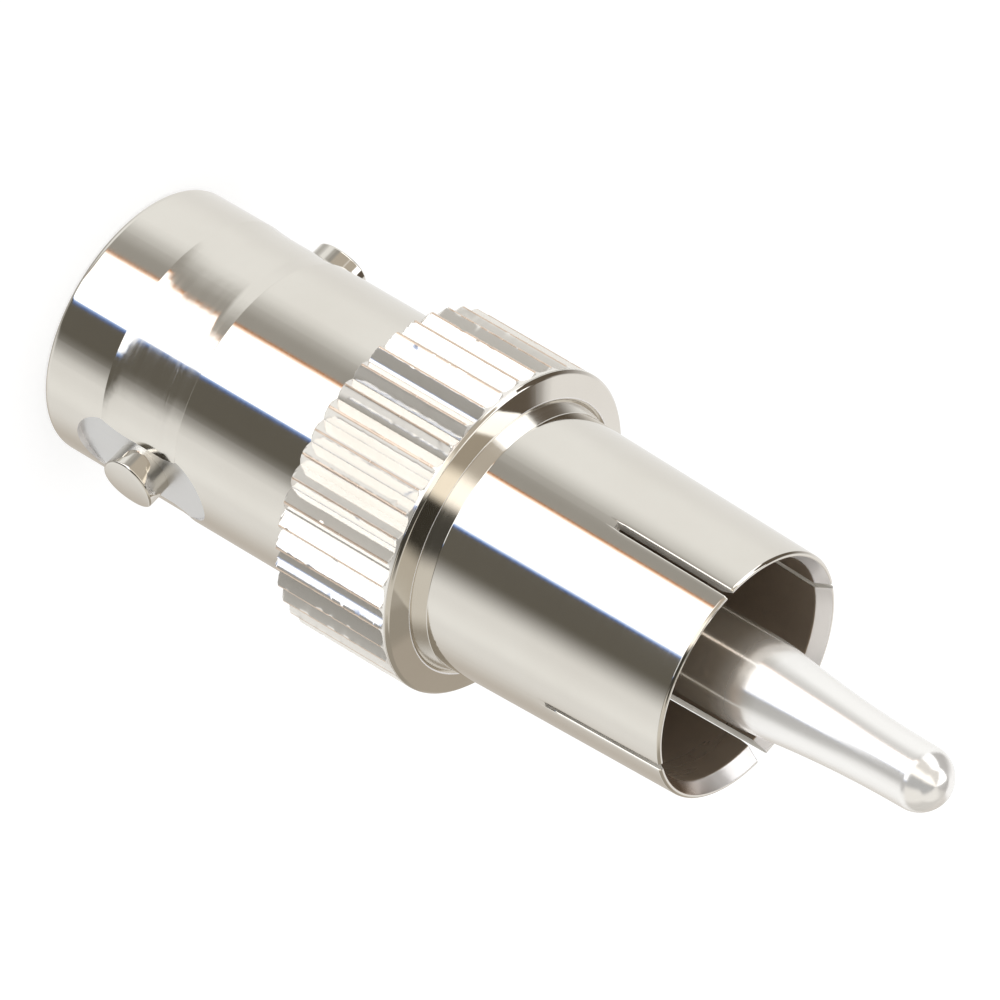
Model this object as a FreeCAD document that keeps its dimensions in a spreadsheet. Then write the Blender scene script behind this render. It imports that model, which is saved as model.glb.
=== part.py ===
# Coax adapter: a bayonet jack at the bottom, a phono plug at the top, one axis through both.
# Millimetres and degrees. The origin is the centre of the jack's mouth rim, +Z runs to the pin's tip
# and the two lugs stand out along +X and -X. Radii end in _r, heights above the mouth in _z.

import FreeCAD, Part
import math
import os
import Sketcher

os.makedirs("parts", exist_ok=True)
doc = FreeCAD.newDocument("coax_adapter")
tiny = 1e-4

# Sizes that can be set
sizes = {
    # jack barrel and mouth
    "barrel_r": 4.80,
    "rim_round": 0.25,
    "barrel_wall": 0.74,
    "mouth_bevel": 0.20,
    "mouth_depth": 5.30,
    "relief_depth": 0.10,
    "relief_length": 3.20,
    # lugs and the milled flats they stand on
    "lug_r": 1.00,
    "lug_z": 4.13,
    "lug_height": 0.70,
    "lug_edge": 0.08,
    "flat_depth": 0.22,
    "flat_cutter_r": 1.50,
    "flat_length": 5.50,
    # collar with its ridges
    "collar_r": 5.85,
    "collar_z": 10.90,
    "collar_length": 4.90,
    "collar_wall": 0.97,
    "collar_face_rise": 0.20,
    "collar_back_bevel": 0.12,
    "collar_front_bevel": 0.10,
    "ridge_depth": 0.40,
    "ridge_angle": 90.0,
    "ridge_count": 42,
    "ridge_back_land": 0.15,
    "ridge_front_land": 0.25,
    "ridge_clear": 0.10,
    "lip_bevel": 0.08,
    # ground sleeve of the plug
    "seat_depth": 3.00,
    "sleeve_step": 0.22,
    "sleeve_step_rise": 0.53,
    "sleeve_taper": 0.24,
    "sleeve_reach": 9.95,
    "sleeve_wall": 0.42,
    "sleeve_rim_edge": 0.07,
    "sleeve_rim_bevel": 0.28,
    "sleeve_rim_bevel_depth": 0.50,
    "slot_width": 0.40,
    "slot_length": 4.70,
    # centre socket of the jack
    "socket_r": 1.05,
    "socket_bore_r": 0.69,
    "socket_lead": 0.12,
    "socket_front_z": 0.45,
    "socket_depth": 5.40,
    "socket_slot": 0.20,
    "socket_slot_length": 3.90,
    "socket_play": 0.20,
    "tail_r": 1.50,
    "tail_step": 0.65,
    # white insulator of the jack
    "nose_r": 2.40,
    "nose_front_z": 0.25,
    "nose_edge": 0.15,
    "shoulder_thickness": 1.70,
    "core_r": 3.60,
    # pin of the plug and its bead
    "bead_length": 4.90,
    "stub_r": 0.70,
    "stub_length": 3.00,
    "shank_r": 1.10,
    "pin_r": 1.60,
    "pin_straight_sink": 0.05,
    "pin_ease": 0.10,
    "pin_ease_length": 1.50,
    "pin_taper": 0.48,
    "pin_reach": 8.22,
    # how far a cutter runs past the metal
    "overrun": 0.50,
}

# Sizes that follow from them, each from the ones above it
derived = {
    "rim_flat_r": "barrel_r - rim_round",
    "mouth_r": "barrel_r - barrel_wall",
    "mouth_bevel_r": "mouth_r + mouth_bevel",
    "relief_r": "barrel_r - relief_depth",
    "relief_low_z": "lug_z - relief_length / 2",
    "relief_high_z": "lug_z + relief_length / 2",
    "flat_low_z": "lug_z - flat_length / 2 + flat_cutter_r",
    "flat_high_z": "lug_z + flat_length / 2 - flat_cutter_r",
    "flat_floor_r": "barrel_r - flat_depth",
    "flat_cut": "flat_depth + overrun",
    "lug_reach_r": "barrel_r + lug_height",
    "lug_root_r": "(mouth_r + flat_floor_r) / 2",
    "lug_blank": "lug_reach_r - lug_root_r + overrun",
    "lug_trim_r": "lug_reach_r + 2 * overrun",
    "lug_trim_low_z": "lug_z - lug_r - overrun",
    "lug_trim_high_z": "lug_z + lug_r + overrun",
    "collar_back_r": "collar_r - collar_back_bevel",
    "collar_back_z": "collar_z + collar_back_bevel",
    "collar_end_z": "collar_z + collar_length",
    "collar_front_z": "collar_end_z - collar_front_bevel",
    "collar_front_r": "collar_r - collar_front_bevel",
    "face_z": "collar_end_z + collar_face_rise",
    "seat_r": "collar_r - collar_wall",
    "lip_r": "seat_r + lip_bevel",
    "lip_z": "face_z - lip_bevel",
    "seat_z": "face_z - seat_depth",
    "core_z": "mouth_depth + shoulder_thickness",
    "ridge_valley_r": "collar_r - ridge_depth",
    "ridge_open_r": "collar_r + ridge_clear",
    "ridge_open_half": "(ridge_open_r - ridge_valley_r) * tan(ridge_angle / 2 * 1 deg)",
    "ridge_cut_z": "collar_z + ridge_back_land",
    "ridge_cut": "collar_length - ridge_back_land - ridge_front_land",
    "ridge_half_pitch": "180 / ridge_count",
    "sleeve_root_r": "seat_r - sleeve_step",
    "sleeve_root_z": "lip_z + sleeve_step_rise",
    "sleeve_mouth_r": "sleeve_root_r - sleeve_taper",
    "sleeve_mouth_z": "face_z + sleeve_reach",
    "sleeve_rim_z": "sleeve_mouth_z - sleeve_rim_edge",
    "sleeve_rim_r": "sleeve_mouth_r - sleeve_rim_edge",
    "sleeve_bore_r": "sleeve_root_r - sleeve_wall",
    "sleeve_bore_mouth_r": "sleeve_mouth_r - sleeve_wall",
    "sleeve_bevel_r": "sleeve_bore_mouth_r + sleeve_rim_bevel",
    "sleeve_bevel_z": "sleeve_mouth_z - sleeve_rim_bevel_depth",
    "slot_z": "sleeve_mouth_z - slot_length",
    "slot_cut": "slot_length + overrun",
    "slot_through": "2 * (sleeve_root_r + overrun)",
    "bead_z": "seat_z + bead_length",
    "socket_lead_z": "socket_front_z + socket_lead",
    "socket_lead_r": "socket_bore_r + socket_lead",
    "socket_floor_z": "socket_front_z + socket_depth",
    "socket_cut_z": "socket_front_z - overrun",
    "socket_cut": "socket_slot_length + overrun",
    "socket_through": "2 * (socket_r + overrun)",
    "tail_z": "socket_floor_z + tail_step",
    "play_r": "socket_r + socket_play",
    "nose_edge_r": "nose_r - nose_edge",
    "nose_edge_z": "nose_front_z + nose_edge",
    "stub_z": "seat_z - stub_length",
    "pin_straight_end_z": "sleeve_mouth_z - pin_straight_sink",
    "pin_waist_r": "pin_r - pin_ease",
    "pin_waist_z": "pin_straight_end_z + pin_ease_length",
    "pin_nose_r": "pin_r - pin_taper",
    "pin_tip_z": "sleeve_mouth_z + pin_reach",
    "pin_nose_z": "pin_tip_z - pin_nose_r",
}

sheet = doc.addObject("Spreadsheet::Sheet", "Sizes")
row = 0
for name, value in sizes.items():
    row += 1
    sheet.set(f"A{row}", name)
    sheet.set(f"B{row}", str(value))
    sheet.setAlias(f"B{row}", name)
for name, formula in derived.items():
    row += 1
    sheet.set(f"A{row}", name)
    sheet.set(f"B{row}", "=" + formula)
    sheet.setAlias(f"B{row}", name)
doc.recompute()


def size(name):
    return float(getattr(sheet, name)) if name else 0.0


def fresh_body(label):
    body = doc.addObject("PartDesign::Body", label)
    body.Label = label
    body.Placement = FreeCAD.Placement()
    return body


def sketch_on(body, role, name, lift=None):
    sketch = body.newObject("Sketcher::SketchObject", name)
    plane = next(o for o in body.Origin.OriginFeatures if o.Role == role)
    sketch.AttachmentSupport = [(plane, "")]
    sketch.MapMode = "FlatFace"
    if lift:
        sketch.setExpression("AttachmentOffset.Base.z", "Sizes." + lift)
    return sketch


# A point held at two named sizes from the sketch's origin, or on an axis where the name is None
def hold(sketch, geo, pos, across, up):
    for kind, name, axis in (("DistanceX", across, -2), ("DistanceY", up, -1)):
        if name is None:
            sketch.addConstraint(Sketcher.Constraint("PointOnObject", geo, pos, axis))
        elif name:
            hold_one(sketch, kind, geo, pos, name)


def hold_one(sketch, kind, geo, pos, name):
    where = sketch.addConstraint(Sketcher.Constraint(kind, -1, 1, geo, pos, size(name)))
    sketch.setExpression(f"Constraints[{where}]", "Sizes." + name)


# Centre of the arc between two corners whose own height, or distance across, is given
def arc_centre(a, b, known, given):
    ax, ay = a
    bx, by = b
    half = (bx * bx - ax * ax + by * by - ay * ay) / 2
    if known == "up":
        return (half - given * (by - ay)) / (bx - ax), given
    return given, (half - given * (bx - ax)) / (by - ay)


# A closed outline through corners named (across, up); rounds makes the side after a corner an arc,
# from one coordinate of its centre
def outline(sketch, corners, rounds=None):
    rounds = rounds or {}
    points = [(size(across), size(up)) for across, up in corners]
    count = len(points)
    first = {}
    last = {}
    for i, a in enumerate(points):
        b = points[(i + 1) % count]
        if i in rounds:
            known, name = rounds[i]
            centre = arc_centre(a, b, known, size(name))
            start = math.atan2(a[1] - centre[1], a[0] - centre[0])
            sweep = (math.atan2(b[1] - centre[1], b[0] - centre[0]) - start) % (2 * math.pi)
            forward = sweep < math.pi
            turn = start if forward else start + sweep
            circle = Part.Circle(FreeCAD.Vector(*centre, 0), FreeCAD.Vector(0, 0, 1), math.dist(a, centre))
            span = sweep if forward else 2 * math.pi - sweep
            geo = sketch.addGeometry(Part.ArcOfCircle(circle, turn, turn + span), False)
            first[i] = (geo, 1 if forward else 2)
            last[i] = (geo, 2 if forward else 1)
        else:
            line = Part.LineSegment(FreeCAD.Vector(*a, 0), FreeCAD.Vector(*b, 0))
            geo = sketch.addGeometry(line, False)
            first[i] = (geo, 1)
            last[i] = (geo, 2)
    for i in range(count):
        sketch.addConstraint(Sketcher.Constraint("Coincident", *last[(i - 1) % count], *first[i]))
        hold(sketch, *first[i], *corners[i])
    for i, (known, name) in rounds.items():
        centre_at = {"across": (name, ""), "up": ("", name)}[known]
        hold(sketch, first[i][0], 3, *centre_at)


# The solid, or the cut, that an outline beside the Z axis sweeps in one turn
def turned(body, name, corners, rounds=None, kind="PartDesign::Revolution"):
    sketch = sketch_on(body, "XZ_Plane", name + "_outline")
    outline(sketch, corners, rounds)
    feature = body.newObject(kind, name)
    feature.Profile = sketch
    feature.ReferenceAxis = (sketch, ["V_Axis"])
    feature.Angle = 360
    sketch.Visibility = False
    doc.recompute()
    return feature


def bored(body, name, corners):
    before = body.Shape.Volume
    feature = turned(body, name, corners, kind="PartDesign::Groove")
    must_cut(body, name, before)
    return feature


def must_cut(body, name, before):
    if body.Shape.Volume > before - tiny:
        raise RuntimeError(name + " removes nothing")


def around(body, name, originals, count, angle=360):
    pattern = body.newObject("PartDesign::PolarPattern", name)
    pattern.Originals = originals
    pattern.Axis = (next(o for o in body.Origin.OriginFeatures if o.Role == "Z_Axis"), [""])
    pattern.Angle = angle
    if isinstance(count, str):
        pattern.setExpression("Occurrences", "Sizes." + count)
    else:
        pattern.Occurrences = count
    body.Tip = pattern
    doc.recompute()
    return pattern


# Two crossing saw cuts through the axis
def sawn(body, name, low, width, height, through):
    before = body.Shape.Volume
    sketch = sketch_on(body, "XZ_Plane", name + "_outline")
    half = size(width) / 2
    bottom = size(low)
    top = bottom + size(height)
    ring = [(-half, bottom), (half, bottom), (half, top), (-half, top)]
    for i, a in enumerate(ring):
        b = ring[(i + 1) % 4]
        sketch.addGeometry(Part.LineSegment(FreeCAD.Vector(*a, 0), FreeCAD.Vector(*b, 0)), False)
    for i in range(4):
        sketch.addConstraint(Sketcher.Constraint("Coincident", (i + 3) % 4, 2, i, 1))
    sketch.addConstraint(Sketcher.Constraint("Horizontal", 2))
    sketch.addConstraint(Sketcher.Constraint("Vertical", 1))
    sketch.addConstraint(Sketcher.Constraint("Symmetric", 0, 1, 0, 2, -2))
    across = sketch.addConstraint(Sketcher.Constraint("DistanceX", 0, 1, 0, 2, 2 * half))
    sketch.setExpression(f"Constraints[{across}]", "Sizes." + width)
    up = sketch.addConstraint(Sketcher.Constraint("DistanceY", 1, 1, 1, 2, top - bottom))
    sketch.setExpression(f"Constraints[{up}]", "Sizes." + height)
    hold_one(sketch, "DistanceY", 0, 1, low)
    cut = body.newObject("PartDesign::Pocket", name)
    cut.Profile = sketch
    cut.Midplane = True
    cut.setExpression("Length", "Sizes." + through)
    doc.recompute()
    must_cut(body, name, before)
    return around(body, name + "_crossed", [cut], 2, angle=90)


# Edges whose points all pass a test on radius and height
def edges_where(body, test, samples=7):
    found = []
    for i, edge in enumerate(body.Shape.Edges, start=1):
        points = [] if edge.Degenerated else edge.discretize(samples)
        if points and all(test(math.hypot(p.x, p.y), p.z) for p in points):
            found.append(f"Edge{i}")
    return found


# Jack shell: barrel, lugs and collar in one turned and milled piece of brass
def make_jack_shell():
    body = fresh_body("jack_shell")
    turned(body, "shell_blank", [
        (None, None),
        ("rim_flat_r", None),
        ("barrel_r", "rim_round"),
        ("barrel_r", "relief_low_z"),
        ("relief_r", "relief_low_z"),
        ("relief_r", "relief_high_z"),
        ("barrel_r", "relief_high_z"),
        ("barrel_r", "collar_z"),
        ("collar_back_r", "collar_z"),
        ("collar_r", "collar_back_z"),
        ("collar_r", "collar_front_z"),
        ("collar_front_r", "collar_end_z"),
        ("lip_r", "face_z"),
        (None, "face_z"),
    ], rounds={1: ("up", "rim_round")})

    # the flat that an end mill leaves on either side of each lug
    flat_sketch = sketch_on(body, "YZ_Plane", "lug_flat_outline", lift="flat_floor_r")
    cutter = size("flat_cutter_r")
    low = FreeCAD.Vector(0, size("flat_low_z"), 0)
    high = FreeCAD.Vector(0, size("flat_high_z"), 0)
    side = FreeCAD.Vector(cutter, 0, 0)
    facing = FreeCAD.Vector(0, 0, 1)
    flat_sketch.addGeometry(Part.ArcOfCircle(Part.Circle(low, facing, cutter), math.pi, 2 * math.pi), False)
    flat_sketch.addGeometry(Part.LineSegment(low + side, high + side), False)
    flat_sketch.addGeometry(Part.ArcOfCircle(Part.Circle(high, facing, cutter), 0, math.pi), False)
    flat_sketch.addGeometry(Part.LineSegment(high - side, low - side), False)
    for a, a_end, b, b_end in ((0, 2, 1, 1), (1, 2, 2, 1), (2, 2, 3, 1), (3, 2, 0, 1)):
        flat_sketch.addConstraint(Sketcher.Constraint("Tangent", a, a_end, b, b_end))
    hold(flat_sketch, 0, 3, None, "flat_low_z")
    hold(flat_sketch, 2, 3, None, "flat_high_z")
    across = flat_sketch.addConstraint(Sketcher.Constraint("Radius", 0, cutter))
    flat_sketch.setExpression(f"Constraints[{across}]", "Sizes.flat_cutter_r")
    before = body.Shape.Volume
    flat = body.newObject("PartDesign::Pocket", "lug_flat")
    flat.Profile = flat_sketch
    flat.Reversed = True
    flat.setExpression("Length", "Sizes.flat_cut")
    doc.recompute()
    must_cut(body, "lug_flat", before)

    # the round lug, standing proud of its final reach
    lug_sketch = sketch_on(body, "YZ_Plane", "lug_outline", lift="lug_root_r")
    centre = FreeCAD.Vector(0, size("lug_z"), 0)
    lug_sketch.addGeometry(Part.Circle(centre, facing, size("lug_r")), False)
    hold(lug_sketch, 0, 3, None, "lug_z")
    across = lug_sketch.addConstraint(Sketcher.Constraint("Radius", 0, size("lug_r")))
    lug_sketch.setExpression(f"Constraints[{across}]", "Sizes.lug_r")
    lug = body.newObject("PartDesign::Pad", "lug")
    lug.Profile = lug_sketch
    lug.setExpression("Length", "Sizes.lug_blank")
    doc.recompute()
    around(body, "lug_pair", [flat, lug], 2)

    # both caps turned to one radius, then their edges broken
    bored(body, "lug_caps", [
        ("lug_reach_r", "lug_trim_low_z"),
        ("lug_trim_r", "lug_trim_low_z"),
        ("lug_trim_r", "lug_trim_high_z"),
        ("lug_reach_r", "lug_trim_high_z"),
    ])
    caps = body.Tip
    reach = size("lug_reach_r")
    cap_edges = edges_where(body, lambda r, z: abs(r - reach) < tiny and z < size("collar_z"))
    broken = body.newObject("PartDesign::Chamfer", "lug_edges")
    broken.Base = (caps, cap_edges)
    broken.setExpression("Size", "Sizes.lug_edge")
    body.Tip = broken
    doc.recompute()

    # mouth, inner shoulder, insulator core and the seat of the ground sleeve
    bored(body, "shell_bore", [
        (None, None),
        ("mouth_bevel_r", None),
        ("mouth_r", "mouth_bevel"),
        ("mouth_r", "mouth_depth"),
        ("nose_r", "mouth_depth"),
        ("nose_r", "core_z"),
        ("core_r", "core_z"),
        ("core_r", "seat_z"),
        ("seat_r", "seat_z"),
        ("seat_r", "lip_z"),
        ("lip_r", "face_z"),
        (None, "face_z"),
    ])

    # straight V cuts that leave the ridges between two plain lands, a ridge standing over each lug
    ridge_sketch = sketch_on(body, "XY_Plane", "ridge_outline", lift="ridge_cut_z")
    ridge_sketch.setExpression("AttachmentOffset.Rotation.Angle", "Sizes.ridge_half_pitch * 1 deg")
    apex = FreeCAD.Vector(size("ridge_valley_r"), 0, 0)
    left = FreeCAD.Vector(size("ridge_open_r"), size("ridge_open_half"), 0)
    right = FreeCAD.Vector(size("ridge_open_r"), -size("ridge_open_half"), 0)
    ridge_sketch.addGeometry(Part.LineSegment(apex, right), False)
    ridge_sketch.addGeometry(Part.LineSegment(right, left), False)
    ridge_sketch.addGeometry(Part.LineSegment(left, apex), False)
    for i in range(3):
        ridge_sketch.addConstraint(Sketcher.Constraint("Coincident", (i + 2) % 3, 2, i, 1))
    hold(ridge_sketch, 0, 1, "ridge_valley_r", None)
    hold(ridge_sketch, 2, 1, "ridge_open_r", "ridge_open_half")
    ridge_sketch.addConstraint(Sketcher.Constraint("Symmetric", 1, 1, 1, 2, -1))
    before = body.Shape.Volume
    ridge_cut = body.newObject("PartDesign::Pocket", "ridge_cut")
    ridge_cut.Profile = ridge_sketch
    ridge_cut.Reversed = True
    ridge_cut.setExpression("Length", "Sizes.ridge_cut")
    doc.recompute()
    must_cut(body, "ridge_cut", before)
    around(body, "ridges", [ridge_cut], "ridge_count")
    return body


# Ground sleeve: a tube let into the collar, stepped in above it, slit into four spring fingers
def make_phono_sleeve():
    body = fresh_body("phono_sleeve")
    turned(body, "sleeve_blank", [
        ("sleeve_bore_r", "seat_z"),
        ("seat_r", "seat_z"),
        ("seat_r", "lip_z"),
        ("sleeve_root_r", "sleeve_root_z"),
        ("sleeve_mouth_r", "sleeve_rim_z"),
        ("sleeve_rim_r", "sleeve_mouth_z"),
        ("sleeve_bevel_r", "sleeve_mouth_z"),
        ("sleeve_bore_mouth_r", "sleeve_bevel_z"),
        ("sleeve_bore_r", "bead_z"),
    ])
    sawn(body, "sleeve_slot", "slot_z", "slot_width", "slot_cut", "slot_through")
    return body


# White insulator of the jack, its stepped hole following the socket
def make_jack_insulator():
    body = fresh_body("jack_insulator")
    turned(body, "insulator_body", [
        ("play_r", "nose_front_z"),
        ("nose_edge_r", "nose_front_z"),
        ("nose_r", "nose_edge_z"),
        ("nose_r", "core_z"),
        ("core_r", "core_z"),
        ("core_r", "seat_z"),
        ("tail_r", "seat_z"),
        ("tail_r", "tail_z"),
        ("play_r", "tail_z"),
    ])
    return body


# Centre socket: slotted tines in front, a thick tail bored for the pin's stub
def make_socket_contact():
    body = fresh_body("socket_contact")
    turned(body, "socket_blank", [
        (None, "socket_floor_z"),
        ("socket_bore_r", "socket_floor_z"),
        ("socket_bore_r", "socket_lead_z"),
        ("socket_lead_r", "socket_front_z"),
        ("socket_r", "socket_front_z"),
        ("socket_r", "tail_z"),
        ("tail_r", "tail_z"),
        ("tail_r", "seat_z"),
        ("stub_r", "seat_z"),
        ("stub_r", "stub_z"),
        (None, "stub_z"),
    ])
    sawn(body, "socket_saw", "socket_cut_z", "socket_slot", "socket_cut", "socket_through")
    return body


# Dark bead that centres the pin in the ground sleeve
def make_plug_insulator():
    body = fresh_body("plug_insulator")
    turned(body, "bead", [
        ("shank_r", "seat_z"),
        ("sleeve_bore_r", "seat_z"),
        ("sleeve_bore_r", "bead_z"),
        ("shank_r", "bead_z"),
    ])
    return body


# Phono pin: stub and shank inside, then the straight root, the hollow taper and the round nose
def make_centre_pin():
    body = fresh_body("centre_pin")
    turned(body, "pin_blank", [
        (None, "stub_z"),
        ("stub_r", "stub_z"),
        ("stub_r", "seat_z"),
        ("shank_r", "seat_z"),
        ("shank_r", "bead_z"),
        ("pin_r", "bead_z"),
        ("pin_r", "pin_straight_end_z"),
        ("pin_waist_r", "pin_waist_z"),
        ("pin_nose_r", "pin_nose_z"),
        (None, "pin_tip_z"),
    ], rounds={6: ("up", "pin_straight_end_z"), 7: ("up", "pin_nose_z"), 8: ("across", None)})
    return body


bodies = [
    make_jack_shell(),
    make_phono_sleeve(),
    make_centre_pin(),
    make_jack_insulator(),
    make_socket_contact(),
    make_plug_insulator(),
]
doc.recompute()

for item in doc.Objects:
    if "Invalid" in item.State or "Error" in item.State:
        raise RuntimeError(f"{item.Label} failed: {item.State}")
for body in bodies:
    if body.Shape.isNull() or not body.Shape.isValid() or len(body.Shape.Solids) != 1:
        raise RuntimeError(f"{body.Label} is not one valid solid")
    body.Shape.exportStep(f"parts/{body.Label}.step")
    print(f"{body.Label}: {body.Shape.Volume:.2f} mm3")
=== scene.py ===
import bmesh
import bpy
import random
from math import cos, hypot, pi, radians, sin, sqrt
from mathutils import Matrix, Vector, noise


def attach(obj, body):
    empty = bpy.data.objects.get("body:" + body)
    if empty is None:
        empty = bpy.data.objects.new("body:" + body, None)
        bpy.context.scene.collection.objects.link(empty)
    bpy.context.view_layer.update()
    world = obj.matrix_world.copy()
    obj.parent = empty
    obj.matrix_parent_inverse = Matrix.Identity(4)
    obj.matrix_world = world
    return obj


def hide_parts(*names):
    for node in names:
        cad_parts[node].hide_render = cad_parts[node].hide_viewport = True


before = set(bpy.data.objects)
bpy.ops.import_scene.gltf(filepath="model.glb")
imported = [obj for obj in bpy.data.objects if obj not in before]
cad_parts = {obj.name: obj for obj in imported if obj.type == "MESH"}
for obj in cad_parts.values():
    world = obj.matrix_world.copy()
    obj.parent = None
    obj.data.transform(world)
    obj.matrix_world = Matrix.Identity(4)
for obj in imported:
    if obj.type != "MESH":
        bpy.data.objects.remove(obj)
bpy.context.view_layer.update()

mm = 0.001
print("frame loaded:", ", ".join(sorted(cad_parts)))


# small helpers for shapes

def towards(start, end, distance):
    gap = hypot(end[0] - start[0], end[1] - start[1])
    share = distance / gap if gap > 1e-9 else 0.0
    return (start[0] + (end[0] - start[0]) * share, start[1] + (end[1] - start[1]) * share)


cornerDefaults = (0, 3, 0)    # softness, steps in it, rows to the next corner


def softOutline(corners, hold, closed=True):
    # corner = (radius, height) and then the values above, as many as differ; lengths in mm
    points, count = [], len(corners)
    for i, corner in enumerate(corners):
        radius, height, soft, steps, rows = tuple(corner) + cornerDefaults[len(corner) - 2:]
        here = (radius, height)
        before, after = corners[i - 1][:2], corners[(i + 1) % count][:2]
        if soft and (closed or 0 < i < count - 1):
            left = towards(here, before, soft)
            right = towards(here, after, soft)
            points.append(towards(here, before, soft + hold))
            for step in range(steps + 1):
                t = step / steps
                points.append(tuple((1 - t) ** 2 * left[a] + 2 * t * (1 - t) * here[a] + t * t * right[a]
                                    for a in (0, 1)))
            points.append(towards(here, after, soft + hold))
        else:
            points.append(here)
        if rows:
            nextSoft = corners[(i + 1) % count][2] if len(corners[(i + 1) % count]) > 2 else 0
            first = points[-1]
            last = towards(after, here, nextSoft + hold)
            for row in range(1, rows):
                share = row / rows
                points.append(tuple(first[a] + (last[a] - first[a]) * share for a in (0, 1)))
    return points


def turnedMesh(name, outlineAt, angles, closed=True):
    columns = [outlineAt(k) for k in range(len(angles))]
    rows = len(columns[0])
    verts = [(r * cos(angle) * mm, r * sin(angle) * mm, z * mm)
             for angle, column in zip(angles, columns) for r, z in column]
    faces = []
    for k in range(len(angles)):
        a, b = k * rows, (k + 1) % len(angles) * rows
        for j in range(rows if closed else rows - 1):
            n = (j + 1) % rows
            faces.append((a + j, b + j, b + n, a + n))
    mesh = bpy.data.meshes.new(name)
    mesh.from_pydata(verts, [], faces)
    tidyMesh(mesh)
    return mesh


def tidyMesh(mesh):
    bm = bmesh.new()
    bm.from_mesh(mesh)
    bmesh.ops.remove_doubles(bm, verts=bm.verts, dist=1e-7)
    bmesh.ops.dissolve_degenerate(bm, edges=bm.edges, dist=1e-8)
    bmesh.ops.recalc_face_normals(bm, faces=bm.faces)
    bm.to_mesh(mesh)
    bm.free()


def evenAngles(count, start=0.0):
    return [start + 2 * pi * k / count for k in range(count)]


def addPiece(name, mesh, slot, *nodes):
    piece = bpy.data.objects.new(name, mesh)
    bpy.context.scene.collection.objects.link(piece)
    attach(piece, "root")
    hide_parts(*nodes)
    return piece


def cutWith(piece, tools, operation):
    for tool in tools:
        modifier = piece.modifiers.new("cut", "BOOLEAN")
        modifier.operation, modifier.object, modifier.solver = operation, tool, "EXACT"
    bpy.context.view_layer.update()
    evaluated = piece.evaluated_get(bpy.context.evaluated_depsgraph_get())
    made = bpy.data.meshes.new_from_object(evaluated)
    piece.modifiers.clear()
    old, piece.data = piece.data, made
    bpy.data.meshes.remove(old)
    for tool in tools:
        mesh = tool.data
        bpy.data.objects.remove(tool)
        bpy.data.meshes.remove(mesh)


def toolFrom(name, verts, faces):
    mesh = bpy.data.meshes.new(name)
    mesh.from_pydata([tuple(c * mm for c in v) for v in verts], [], faces)
    tidyMesh(mesh)
    tool = bpy.data.objects.new(name, mesh)
    bpy.context.scene.collection.objects.link(tool)
    return tool


def prism(name, loop, low, high, place):
    # loop of (u, v) points, carried from low to high; place gives the (x, y, z) of (u, v, w)
    count = len(loop)
    verts = [place(u, v, low) for u, v in loop] + [place(u, v, high) for u, v in loop]
    faces = [tuple(range(count))[::-1], tuple(range(count, 2 * count))]
    faces += [(i, (i + 1) % count, count + (i + 1) % count, count + i) for i in range(count)]
    return toolFrom(name, verts, faces)


def smoothShading(piece, angle, sharpAt=None):
    mesh = piece.data
    mesh.shade_smooth()
    mesh.set_sharp_from_angle(angle=radians(angle))
    if sharpAt:
        sharpFaces = {p.index for p in mesh.polygons if sharpAt(p)}
        owners = {}
        for p in mesh.polygons:
            for key in p.edge_keys:
                owners.setdefault(key, []).append(p.index in sharpFaces)
        for edge in mesh.edges:
            both = owners.get(tuple(sorted(edge.vertices)), [])
            if len(both) == 2 and both[0] != both[1]:
                edge.use_edge_sharp = True


# finishes

even = (1, 1, 1)    # noise that isn't stretched
lightReach = (0.001, 0.0009, 0.0008)    # how far light goes into the plastics, in m


def newFinish(name):
    material = bpy.data.materials.new(name)
    material.use_nodes = True
    tree = material.node_tree
    return material, tree.nodes, tree.links, tree.nodes["Principled BSDF"]


def addNode(nodes, kind, inputs=None, **values):
    node = nodes.new(kind)
    for key, value in values.items():
        setattr(node, key, value)
    for key, value in (inputs or {}).items():
        node.inputs[key].default_value = value
    return node


def stretchedNoise(nodes, links, coords, stretch, detail, roughness, scale=1.0):
    mapping = addNode(nodes, "ShaderNodeMapping", {"Scale": stretch})
    links.new(coords, mapping.inputs["Vector"])
    texture = addNode(nodes, "ShaderNodeTexNoise",
                      {"Scale": scale, "Detail": detail, "Roughness": roughness})
    links.new(mapping.outputs["Vector"], texture.inputs["Vector"])
    return texture.outputs["Fac"]


def mixColour(nodes, links, factor, first, second):
    mix = addNode(nodes, "ShaderNodeMix", data_type="RGBA")
    links.new(factor, mix.inputs["Factor"])
    firstColour, secondColour, mixed = 6, 7, 2    # the node's sockets for colours
    for socket, value in ((firstColour, first), (secondColour, second)):
        if isinstance(value, (tuple, list)):
            mix.inputs[socket].default_value = (*value, 1)
        else:
            links.new(value, mix.inputs[socket])
    return mix.outputs[mixed]


def ramped(nodes, links, value, low, high, fromLow=0.3, fromHigh=0.7):
    mapped = addNode(nodes, "ShaderNodeMapRange",
                     {"From Min": fromLow, "From Max": fromHigh, "To Min": low, "To Max": high})
    links.new(value, mapped.inputs["Value"])
    return mapped.outputs["Result"]


def bumpChain(nodes, links, layers):
    # layers of (height output, depth in m), the first one deepest in the chain
    normal = None
    for height, depth in layers:
        bump = addNode(nodes, "ShaderNodeBump", {"Distance": depth})
        links.new(height, bump.inputs["Height"])
        if normal:
            links.new(normal, bump.inputs["Normal"])
        normal = bump.outputs["Normal"]
    return normal


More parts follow.
